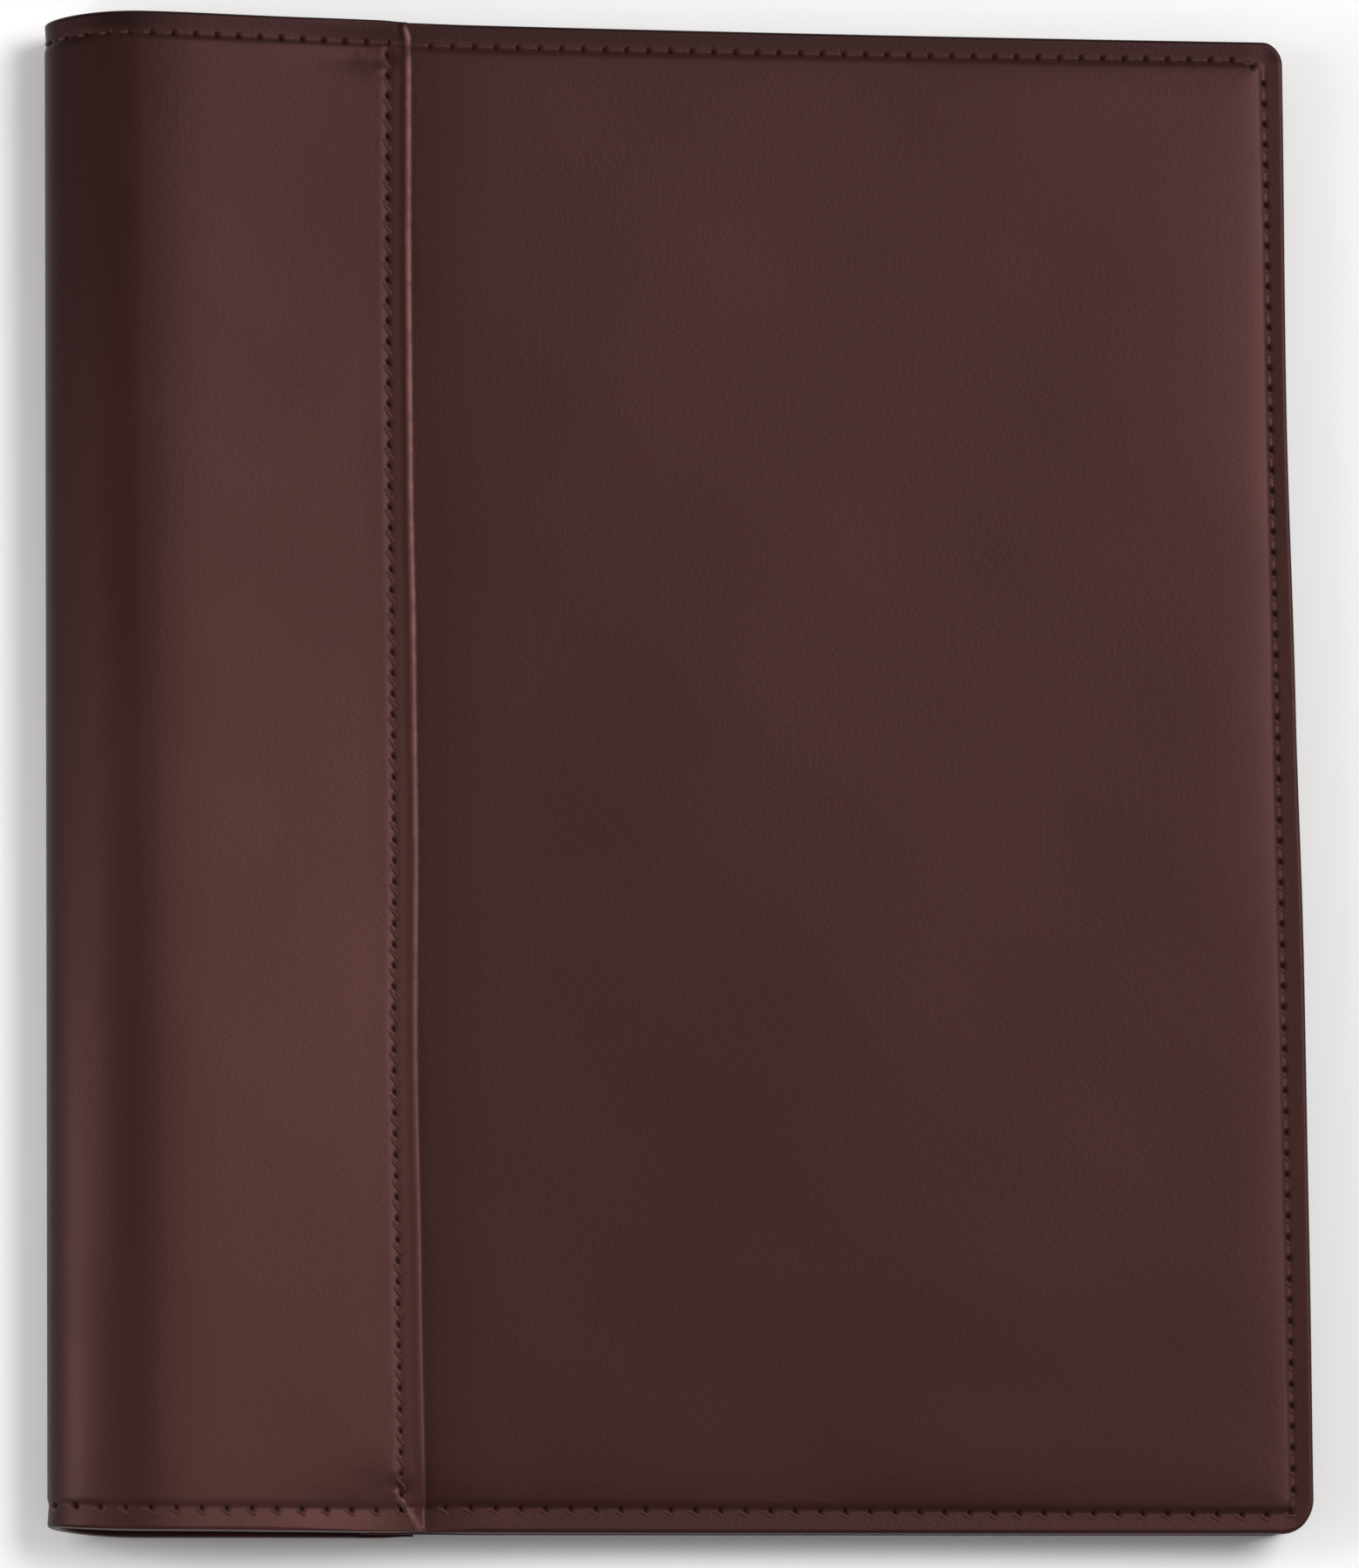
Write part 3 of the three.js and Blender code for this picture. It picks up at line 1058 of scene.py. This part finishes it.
    def rows(self) -> list[StitchRow]:
        """List the wrap's rows: both ends and both seams."""
        top = FORM.half_height - FORM.stitch_inset
        high, low = top - self.seam_row_end, self.seam_row_end - top
        near, far = FORM.seam_inset, self.length() - FORM.seam_inset
        long_tack = ((near + 0.0026, top - 0.0034), (near + 0.0004, top))
        short_tack = ((near + 0.0006, top + 0.0013), (near, top - 0.0012))
        return [
            StitchRow("wrap_top_row", Sewn.TOP, (
                (far, top), (near, FORM.half_height - FORM.row_insets.top_near))),
            StitchRow("wrap_bottom_row", Sewn.BOTTOM, ((near, -top), (far, -top))),
            StitchRow("front_seam_row", Sewn.SEAM, ((near, high), (near, low))),
            StitchRow("back_seam_row", Sewn.SEAM, ((far, high), (far, low))),
            StitchRow("long_tack", Sewn.LONG_TACK, long_tack, pierced=False),
            StitchRow("short_tack", Sewn.SHORT_TACK, short_tack, pierced=False),
        ]

    def wear_and_highlight(self, flat: Array) -> Array:
        """Say that the front lip's turned edge is scuffed and has a painted highlight, less so low down and
        just under its top; the tucked ridge low down has some too.
        """
        u, v = flat[:, 0], flat[:, 1]
        in_top = FORM.half_height - v
        kept = self.highlight_low + (1 - self.highlight_low) * ramp(v, *self.highlight_ramp_up)
        kept = kept * (1 - self.highlight_gap * spot(in_top, *self.highlight_gap_spot))
        ends = ramp(v, *self.highlight_bottom_ramp_up) * ramp(in_top, *self.highlight_top_ramp)
        lip = spot(u, *self.highlight_spot) * kept * ends
        tuck = np.where(u < self.flat_run(), self.tucked(FORM.wrap_reach - u, v), 0)
        return np.maximum(lip, self.tuck_highlight * tuck)

    def painted_shade(self, flat: Array) -> Array:
        """Say how far painted shade darkens the dye along the top edge and on the spine's turn away from the
        light.
        """
        middle = self.length() / 2
        return np.maximum(super().painted_shade(flat), spot(flat[:, 0], middle, middle - self.flat_run()))

    def fade_and_painted_light(self, flat: Array) -> Array:
        """Say where painted light lightens the dye: low on the front, up to the spine and least on its crest.
        """
        low = 1 - ramp(flat[:, 1], *self.unlit_ramp_up)
        past_crest = flat[:, 0] - self.flat_run()
        crest = 1 - self.unlit_crest * spot(past_crest, *self.unlit_crest_spot)
        return low * (1 - ramp(past_crest, *self.unlit_spine_ramp)) * crest

    def turned_over(self) -> bool:
        """The wrap is laid from the front lip towards the spine, so its faces turn."""
        return True


@dataclass(frozen=True)
class Thread:
    """The sewing thread: two plies twisted together, whose ends dive into the needle holes, in metres."""

    dive: float = 0.0005
    plies: int = 2
    twist: float = 0.0021
    ply_depth: float = 0.12
    sides: int = 10
    rings: int = 14

    def model(self, stitch: Stitch) -> bpy.types.Object:
        """Model one stitch, along X, with the way out of the leather up Z.

        Args:
            stitch: How the row is sewn.

        Returns:
            The stitch that the row is copied from.
        """
        deselect_all()
        bpy.ops.mesh.primitive_uv_sphere_add(
            segments=self.sides, ring_count=self.rings, radius=1, rotation=(0, math.pi / 2, 0))
        thread = bpy.context.object
        bpy.ops.object.transform_apply(location=False, rotation=True, scale=False)
        bpy.ops.object.mode_set(mode="EDIT")
        bpy.ops.mesh.select_all(action="SELECT")
        bpy.ops.transform.resize(value=(stitch.length / 2, stitch.radius, stitch.radius))
        bpy.ops.object.mode_set(mode="OBJECT")
        points = read_points(thread.data)
        angle = np.arctan2(points[:, 2], points[:, 1])
        share = points[:, 0] / (stitch.length / 2)
        full = np.sqrt(np.clip(1 - share ** 2, 0, 1))
        fuller = np.clip(1 - share ** 4, 0, 1) ** 0.5
        grow = np.where(full > 1e-6, fuller / np.maximum(full, 1e-6), 1)
        ply = 1 + self.ply_depth * np.cos(self.plies * (angle - 2 * np.pi * points[:, 0] / self.twist))
        points[:, 1] = points[:, 1] * grow * ply + stitch.sway * np.sin(np.pi * share)
        points[:, 2] = points[:, 2] * grow * ply - self.dive * np.abs(share) ** 3
        write_points(thread.data, points)
        return thread


@dataclass
class Sewing:
    """The threads of one sheet's rows, copied from one modelled stitch and joined."""

    sheet: LeatherSheet
    thread: Thread

    def sew(self, row: StitchRow) -> bpy.types.Object:
        """Lay a thread beside each needle hole of a row.

        Args:
            row: The row of stitches.

        Returns:
            The row's threads as one piece.
        """
        stitch = row.sewn.value
        pattern = self.thread.model(stitch)
        copies = []
        holes = self.sheet.row_holes(row)
        # A tack is one thread, so the far end of its path has none
        for hole in holes if row.pierced else holes[:-1]:
            out = Vector(hole.out).normalized()
            run = Vector(hole.along)
            run = (run - out * run.dot(out)).normalized()
            left = out.cross(run)
            middle = Vector(hole.at) + run * stitch.ahead + left * stitch.aside + out * stitch.lift
            along = Matrix.Rotation(stitch.slant, 3, out) @ run
            turn = Matrix((along, out.cross(along), out)).transposed().to_4x4()
            copy = pattern.copy()
            copy.data = pattern.data.copy()
            copy.data.transform(Matrix.Translation(middle) @ turn)
            bpy.context.scene.collection.objects.link(copy)
            copies.append(copy)
        bpy.data.objects.remove(pattern)
        deselect_all()
        for copy in copies:
            copy.select_set(True)
        bpy.context.view_layer.objects.active = copies[0]
        bpy.ops.object.join()
        joined = bpy.context.object
        joined.name = row.name
        joined.data.name = row.name
        bpy.ops.object.shade_smooth()
        return joined


class Nodes:
    """The node tree of a new material, with the kinds of node that its finishes share."""

    def __init__(self, name: str) -> None:
        """Begin a material that is named for its finish."""
        self.material = bpy.data.materials.new(name)
        self.material.use_nodes = True
        self.tree = self.material.node_tree
        self.tree.nodes.clear()
        self.place = self.add("ShaderNodeTexCoord", {}, {}).outputs["Object"]

    def add(self, kind: str, settings: dict[str, Any], inputs: dict[Any, Any]) -> Any:
        """Add a node with its settings and links.

        Args:
            kind: The node's type name.
            settings: Attributes to set on the node.
            inputs: Socket names or numbers, each with a value or with the socket that feeds it.

        Returns:
            The new node.
        """
        made = self.tree.nodes.new(kind)
        for key, value in settings.items():
            setattr(made, key, value)
        for key, value in inputs.items():
            if isinstance(value, Socket):
                self.tree.links.new(value, made.inputs[key])
            else:
                made.inputs[key].default_value = value
        return made

    def own(self, name: str) -> Socket:
        """Read a sheet's own attribute."""
        return self.add("ShaderNodeAttribute", {"attribute_name": name}, {}).outputs["Fac"]

    def noise(self, spot_mm: float, detail: float, roughness: float) -> Socket:
        """Make noise whose spots are a number of millimetres apart."""
        return self.add("ShaderNodeTexNoise", {}, {
            "Vector": self.place, "Scale": 1000 / spot_mm, "Detail": detail, "Roughness": roughness,
        }).outputs["Fac"]

    def spread(self, value: Socket, low: float, high: float, margin: float = 0.3) -> Socket:
        """Spread noise between two values, held level within a margin of its ends."""
        return self.add("ShaderNodeMapRange", {}, {
            "Value": value, "From Min": margin, "From Max": 1 - margin, "To Min": low, "To Max": high,
        }).outputs["Result"]

    def maths(self, operation: str, *values: Any, clamped: bool = False) -> Socket:
        """Do sums on values or sockets, held from 0 to 1 where clamped."""
        settings = {"operation": operation, "use_clamp": clamped}
        return self.add("ShaderNodeMath", settings, dict(enumerate(values))).outputs["Value"]

    def scaled(self, hex_colour: str, value: Socket) -> Socket:
        """Make a dye lighter or darker by a value."""
        return self.add("ShaderNodeVectorMath", {"operation": "SCALE"}, {
            0: linear(hex_colour)[:3], "Scale": value}).outputs["Vector"]

    def mixed(self, share: Socket, colour: Socket, hex_colour: str) -> Socket:
        """Mix a share of a hex colour into a colour."""
        return self.add("ShaderNodeMix", {"data_type": "RGBA"}, {
            "Factor": share, 6: colour, 7: linear(hex_colour)}).outputs[2]

    def raised(self, height: Socket, strength: float, distance: float) -> Socket:
        """Let a height tilt the surface."""
        return self.add("ShaderNodeBump", {}, {
            "Height": height, "Strength": strength, "Distance": distance}).outputs["Normal"]

    def surface(self, inputs: dict[str, Any]) -> bpy.types.Material:
        """End the material with its shader and return it."""
        shader = self.add("ShaderNodeBsdfPrincipled", {}, inputs)
        self.add("ShaderNodeOutputMaterial", {}, {"Surface": shader.outputs["BSDF"]})
        return self.material


@dataclass(frozen=True)
class SatinCowhide:
    """Aniline-dyed cowhide, plated nearly smooth: a soft satin sheen over a very fine grain."""

    name: str
    hide: str = "281512"
    # Painted shade along the top edge, on the spine's turn and in the needle holes
    deep: str = "070303"
    # Painted light low on the front of the wrap
    lit_colour: str = "38211e"
    # A scuffed edge's colour, light enough to be a painted highlight
    rubbed_with_highlight: str = "7a5551"
    gloss: str = "ffb6b4"
    specular: float = 0.34
    roughness: float = 0.40
    satin_swing: float = 0.03
    ior: float = 1.46
    pore_mm: float = 0.9
    cloud_mm: float = 45.0
    patch_mm: float = 4.0
    fibres_to_pore: float = 2.4
    grain_strength: float = 0.25
    grain_height: float = 0.00006
    hole_matt: float = 0.9

    def make(self) -> bpy.types.Material:
        """Make the hide's material.

        Returns:
            A node material that reads object coordinates and the sheet's own attributes.
        """
        nodes = Nodes(self.name)
        # Slow clouds of the dye, which took unevenly
        cloud = nodes.noise(self.cloud_mm, 3.0, 0.5)
        # Fine pores of the plated grain, drawn a little coarser than life so that they show
        pores = nodes.add("ShaderNodeTexVoronoi", {"feature": "SMOOTH_F1"}, {
            "Vector": nodes.place, "Scale": 1000 / self.pore_mm, "Smoothness": 0.6, "Randomness": 1.0})
        fibre = nodes.noise(self.pore_mm / self.fibres_to_pore, 2.0, 0.6)
        tone = nodes.maths("MULTIPLY", nodes.spread(cloud, 0.94, 1.06), nodes.spread(fibre, 0.95, 1.05))
        # Painted light low on the front of the wrap
        with_painted_light = nodes.mixed(nodes.own("fade_and_painted_light"), nodes.scaled(self.hide, tone), self.lit_colour)
        # Painted shade along the top edge and on the spine's turn
        with_painted_shade = nodes.mixed(nodes.own("painted_shade"), with_painted_light, self.deep)
        # The turned edge is scuffed and has a painted highlight, lighter in patches
        patches = nodes.spread(nodes.noise(self.patch_mm, 2.0, 0.6), 0.55, 1.0, margin=0.35)
        rubbed_with_highlight = nodes.mixed(nodes.maths("MULTIPLY", nodes.own("wear_and_highlight"), patches), with_painted_shade, self.rubbed_with_highlight)
        needle = nodes.own("needle")
        relief = nodes.maths("ADD", pores.outputs["Distance"], fibre)
        satin = nodes.spread(cloud, self.roughness - self.satin_swing, self.roughness + self.satin_swing)
        return nodes.surface({
            # The needle holes are painted dark as shade
            "Base Color": nodes.mixed(needle, rubbed_with_highlight, self.deep),
            # Inside the needle holes the raw hide is matt
            "Roughness": nodes.maths("MULTIPLY_ADD", needle, self.hole_matt, satin, clamped=True),
            "Normal": nodes.raised(relief, self.grain_strength, self.grain_height),
            "IOR": self.ior, "Specular IOR Level": self.specular, "Specular Tint": linear(self.gloss)})


@dataclass(frozen=True)
class WaxedThread:
    """Waxed polyester sewing thread, dyed to match the hide, with a faint sheen along its plies."""

    name: str
    dye: str = "3e2523"
    gloss: str = "ffb6b4"
    specular: float = 0.34
    roughness: float = 0.5
    fibre_mm: float = 0.2
    fuzz_strength: float = 0.4
    fuzz_height: float = 0.00005

    def make(self) -> bpy.types.Material:
        """Make the thread's material.

        Returns:
            A node material that reads object coordinates.
        """
        nodes = Nodes(self.name)
        fibre = nodes.noise(self.fibre_mm, 2.0, 0.6)
        return nodes.surface({
            "Base Color": nodes.scaled(self.dye, nodes.spread(fibre, 0.85, 1.15)),
            "Roughness": self.roughness,
            "Normal": nodes.raised(fibre, self.fuzz_strength, self.fuzz_height),
            "Specular IOR Level": self.specular, "Specular Tint": linear(self.gloss)})


@dataclass
class DocumentCase:
    """The whole case: its three sheets of leather and their sewing."""

    thread: Thread = field(default_factory=Thread)
    pieces: list[bpy.types.Object] = field(default_factory=list)

    def dress(self, piece: bpy.types.Object, material: bpy.types.Material) -> None:
        """Give a piece its material and let it ride on the case.

        Args:
            piece: The piece.
            material: Its material.
        """
        piece.data.materials.clear()
        piece.data.materials.append(material)
        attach(piece, "root")
        self.pieces.append(piece)
        LOG.info("%s: %d faces", piece.name, len(piece.data.polygons))

    def build(self) -> None:
        """Build every sheet and sew its rows."""
        panel_hide = SatinCowhide("satin_cowhide_panel").make()
        wrap_hide = SatinCowhide("satin_cowhide_wrap", hide="24120f").make()
        yarn = WaxedThread("waxed_thread").make()
        front = CoverPanel("front_cover_panel", Side.FRONT)
        wrap = SpineWrap("spine_wrap_leather", Side.FRONT)
        back = CoverPanel("back_cover_panel", Side.BACK)
        plan = (
            (front, "front_panel", panel_hide, "panel_leather"),
            (wrap, "spine_wrap", wrap_hide, "wrap_leather"),
            (back, "back_panel", panel_hide, "panel_leather"),
        )
        for sheet, node, hide, slot in plan:
            piece = sheet.build()
            self.dress(piece, hide)
            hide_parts(node)
            isinstance(sheet, CoverPanel)
            for row in sheet.rows():
                self.dress(Sewing(sheet, self.thread).sew(row), yarn)


@dataclass(frozen=True)
class SoftLight:
    """A square soft box: its place, what it points at, its size in metres and its power in watts."""

    name: str
    at: tuple[float, float, float]
    towards: tuple[float, float, float]
    size: float
    power: float

    def hang(self) -> None:
        """Add the light to the scene."""
        lamp = bpy.data.lights.new(self.name, "AREA")
        lamp.energy = self.power
        lamp.size = self.size
        holder = bpy.data.objects.new(self.name, lamp)
        bpy.context.scene.collection.objects.link(holder)
        holder.visible_camera = False
        holder.location = self.at
        aim = Vector(self.towards) - Vector(self.at)
        holder.rotation_euler = aim.to_track_quat("-Z", "Y").to_euler()


@dataclass(frozen=True)
class Studio:
    """A plain pale floor, soft lights and the camera nearly overhead."""

    camera_at: tuple[float, float, float] = (-0.3052, -0.3513, 2.1364)
    tilt: float = math.radians(9.33)
    lean: float = math.radians(-8.07)
    roll: float = math.radians(-0.68)
    focal_mm: float = 234.0
    view_end: float = 20.0
    floor_size: float = 6.0
    floor_gap: float = 0.0002
    floor_colour: str = "f8f7f6"
    floor_roughness: float = 0.9
    ambient: float = 0.3
    lights: tuple[SoftLight, ...] = (
        SoftLight("key_from_the_right", (1.156, 0.57, 1.86), (0.0, 0.0, 0.0), 1.2, 37.4),
        SoftLight("upper_spine_gleam", (-0.564, 0.05, 0.649), (-0.13, 0.0, 0.0), 0.2, 0.75),
        SoftLight("lower_spine_gleam", (-0.487, -0.10, 0.29), (-0.13, -0.12, 0.0), 0.12, 0.52),
        SoftLight("low_fill_from_the_left", (-1.50, -0.20, 0.64), (0.0, 0.0, 0.0), 1.0, 7.5),
    )

    def lay_floor(self) -> None:
        """Lay the floor just under the case."""
        deselect_all()
        bpy.ops.mesh.primitive_plane_add(size=self.floor_size, location=(0, 0, -self.floor_gap))
        floor = bpy.context.object
        bpy.ops.object.transform_apply(location=True, rotation=False, scale=False)
        floor.name = "studio_floor"
        paper = bpy.data.materials.new("matt_paper")
        paper.use_nodes = True
        shader = paper.node_tree.nodes["Principled BSDF"]
        shader.inputs["Base Color"].default_value = linear(self.floor_colour)
        shader.inputs["Roughness"].default_value = self.floor_roughness
        floor.data.materials.append(paper)

    def light(self) -> None:
        """Set the even studio light and hang the soft boxes."""
        world = bpy.data.worlds.new("studio_air")
        world.use_nodes = True
        air = world.node_tree.nodes["Background"]
        air.inputs["Color"].default_value = (1, 1, 1, 1)
        air.inputs["Strength"].default_value = self.ambient
        bpy.context.scene.world = world
        bpy.context.scene.view_settings.view_transform = "Standard"
        for box in self.lights:
            box.hang()

    def aim_camera(self) -> None:
        """Put the camera where the photograph was taken from."""
        lens = bpy.data.cameras.new("photo_camera")
        lens.lens = self.focal_mm
        lens.clip_end = self.view_end
        camera = bpy.data.objects.new("photo_camera", lens)
        bpy.context.scene.collection.objects.link(camera)
        turn = Matrix.Rotation(self.roll, 4, "Z") @ Matrix.Rotation(self.lean, 4, "Y")
        turn = turn @ Matrix.Rotation(self.tilt, 4, "X")
        camera.matrix_world = Matrix.Translation(self.camera_at) @ turn
        bpy.context.scene.camera = camera


def main() -> None:
    """Build the studio and the case, in order."""
    logging.basicConfig(level=logging.INFO, format="%(name)s %(message)s")
    studio = Studio()
    studio.aim_camera()
    studio.lay_floor()
    studio.light()
    case = DocumentCase()
    case.build()
    LOG.info("%d pieces", len(case.pieces))


if __name__ == "__main__":
    main()
